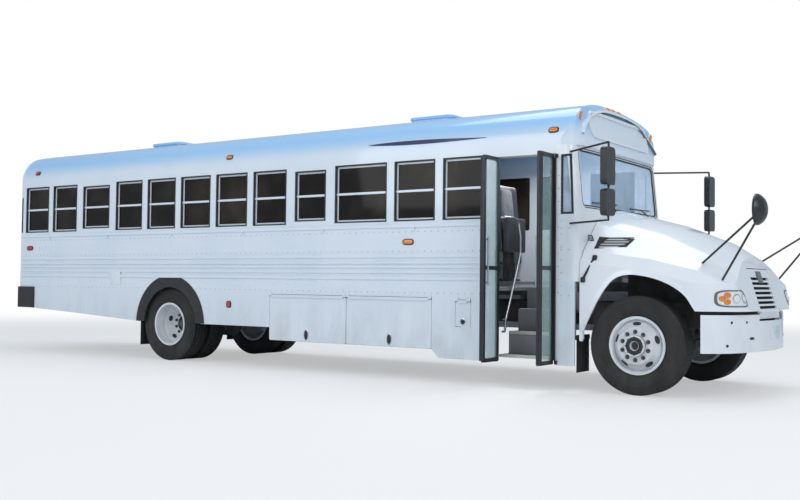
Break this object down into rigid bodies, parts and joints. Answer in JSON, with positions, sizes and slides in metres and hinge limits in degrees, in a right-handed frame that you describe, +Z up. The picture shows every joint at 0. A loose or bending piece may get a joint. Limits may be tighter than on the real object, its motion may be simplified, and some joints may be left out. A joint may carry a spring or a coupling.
{
  "type": "bonneted passenger coach",
  "caption": "White bonneted coach with a riveted steel body, side windows, folding entry leaves, luggage doors and dual rear wheels.",
  "frame": {"origin": "on the ground under the middle of the bounding box", "axes": "+X forward along the coach, +Y to the driver's side (left), +Z up"},
  "size_m": [11.7768, 3.46, 3.2722],
  "materials": {
    "body_paint": "gloss",
    "tinted_glass": "gloss",
    "clear_glass": "gloss",
    "tyre_rubber": "matte",
    "wheel_paint": "satin",
    "black_metal": "satin",
    "chassis_paint": "satin",
    "floor_grey": "matte",
    "seat_black": "satin",
    "dash_plastic": "matte",
    "grille_paint": "gloss",
    "lamp_clear": "gloss"
  },
  "bodies": {
    "coach": {"arch_lips": "black_metal", "cab_front": "body_paint", "chassis_frame": "chassis_paint", "dashboard": "dash_plastic", "driver_seat": "seat_black", "engine": "chassis_paint", "entry_header": "body_paint", "entry_hinges": "black_metal", "entry_steps": "floor_grey", "floor": "floor_grey", "front_axle": "chassis_paint", "front_bumper": "black_metal", "front_cap": "body_paint", "hatch_panels": "body_paint", "leaf_springs": "chassis_paint", "left_side": "body_paint", "left_skirt": "body_paint", "luggage_box": "chassis_paint", "passenger_seats": "seat_black", "quarter_glass": "clear_glass", "radiator": "black_metal", "rear_axle": "chassis_paint", "rear_bumper": "black_metal", "rear_wall": "body_paint", "right_side": "body_paint", "right_skirt": "body_paint", "roof": "body_paint", "steering_wheel": "dash_plastic", "view_mirrors": "black_metal", "window_glass": "tinted_glass", "windshield": "clear_glass"},
    "hood": {"hood": "body_paint", "grille": "grille_paint", "headlamps": "lamp_clear", "crossview_mirrors": "black_metal"},
    "entry_leaf_front": {"entry_leaf_front": "black_metal", "entry_glass_front": "clear_glass"},
    "entry_leaf_rear": {"entry_leaf_rear": "black_metal", "entry_glass_rear": "clear_glass"},
    "luggage_door_front": {"luggage_door_front": "body_paint"},
    "luggage_door_rear": {"luggage_door_rear": "body_paint"},
    "battery_door": {"battery_door": "body_paint"},
    "exit_door": {"exit_door": "body_paint", "exit_door_glass": "tinted_glass"},
    "roof_hatch_front": {"roof_hatch_front": "body_paint"},
    "roof_hatch_rear": {"roof_hatch_rear": "body_paint"},
    "knuckle_right": {"knuckle_right": "chassis_paint"},
    "knuckle_left": {"knuckle_left": "chassis_paint"},
    "tie_rod": {"tie_rod": "chassis_paint"},
    "wheel_front_right": {"tyre_front_right": "tyre_rubber", "rim_front_right": "wheel_paint"},
    "wheel_front_left": {"tyre_front_left": "tyre_rubber", "rim_front_left": "wheel_paint"},
    "wheels_rear_right": {"tyres_rear_right": "tyre_rubber", "rims_rear_right": "wheel_paint"},
    "wheels_rear_left": {"tyres_rear_left": "tyre_rubber", "rims_rear_left": "wheel_paint"}
  },
  "joints": [
    {"name": "steer_right", "type": "hinge", "parent": "coach", "child": "knuckle_right", "pos_m": [4.5425, -0.855, 0.515], "axis": [0, 0, 1], "range_deg": [-45, 45]},
    {"name": "steer_left", "type": "hinge", "parent": "coach", "child": "knuckle_left", "pos_m": [4.5425, 0.855, 0.515], "axis": [0, 0, 1], "range_deg": [-45, 45]},
    {"name": "tie_rod_pivot", "type": "hinge", "parent": "knuckle_right", "child": "tie_rod", "pos_m": [4.3425, -0.855, 0.3937], "axis": [0, 0, 1], "range_deg": [-45, 45]},
    {"name": "roll_front_right", "type": "hinge", "parent": "knuckle_right", "child": "wheel_front_right", "pos_m": [4.5425, -1.01, 0.515], "axis": [0, 1, 0], "continuous": true},
    {"name": "roll_front_left", "type": "hinge", "parent": "knuckle_left", "child": "wheel_front_left", "pos_m": [4.5425, 1.01, 0.515], "axis": [0, 1, 0], "continuous": true},
    {"name": "roll_rear_right", "type": "hinge", "parent": "coach", "child": "wheels_rear_right", "pos_m": [-2.3875, -1.03, 0.515], "axis": [0, 1, 0], "continuous": true},
    {"name": "roll_rear_left", "type": "hinge", "parent": "coach", "child": "wheels_rear_left", "pos_m": [-2.3875, 1.03, 0.515], "axis": [0, 1, 0], "continuous": true},
    {"name": "entry_rear_swing", "type": "hinge", "parent": "coach", "child": "entry_leaf_rear", "pos_m": [2.9425, -1.234, 1.4], "axis": [0, 0, 1], "range_deg": [0, 90]},
    {"name": "entry_front_swing", "type": "hinge", "parent": "coach", "child": "entry_leaf_front", "pos_m": [3.6625, -1.234, 1.4], "axis": [0, 0, 1], "range_deg": [-90, 0]},
    {"name": "hood_tilt", "type": "hinge", "parent": "coach", "child": "hood", "pos_m": [5.5925, 0, 0.868], "axis": [0, 1, 0], "range_deg": [0, 60]},
    {"name": "luggage_front_lift", "type": "hinge", "parent": "coach", "child": "luggage_door_front", "pos_m": [1.455, -1.233, 0.958], "axis": [1, 0, 0], "range_deg": [-90, 0]},
    {"name": "luggage_rear_lift", "type": "hinge", "parent": "coach", "child": "luggage_door_rear", "pos_m": [0.195, -1.233, 0.958], "axis": [1, 0, 0], "range_deg": [-90, 0]},
    {"name": "battery_lift", "type": "hinge", "parent": "coach", "child": "battery_door", "pos_m": [2.5075, -1.233, 0.938], "axis": [1, 0, 0], "range_deg": [-90, 0]},
    {"name": "exit_swing", "type": "hinge", "parent": "coach", "child": "exit_door", "pos_m": [-5.8135, -0.42, 1.8], "axis": [0, 0, 1], "range_deg": [0, 110]},
    {"name": "hatch_front_lift", "type": "hinge", "parent": "coach", "child": "roof_hatch_front", "pos_m": [1.7865, 0, 3.248], "axis": [0, 1, 0], "range_deg": [0, 60]},
    {"name": "hatch_rear_lift", "type": "hinge", "parent": "coach", "child": "roof_hatch_rear", "pos_m": [-3.1135, 0, 3.248], "axis": [0, 1, 0], "range_deg": [0, 60]}
  ],
  "couplings": [
    {"joint": "steer_left", "follows": "steer_right", "ratio": 1},
    {"joint": "tie_rod_pivot", "follows": "steer_right", "ratio": -1},
    {"joint": "entry_front_swing", "follows": "entry_rear_swing", "ratio": -1}
  ]
}
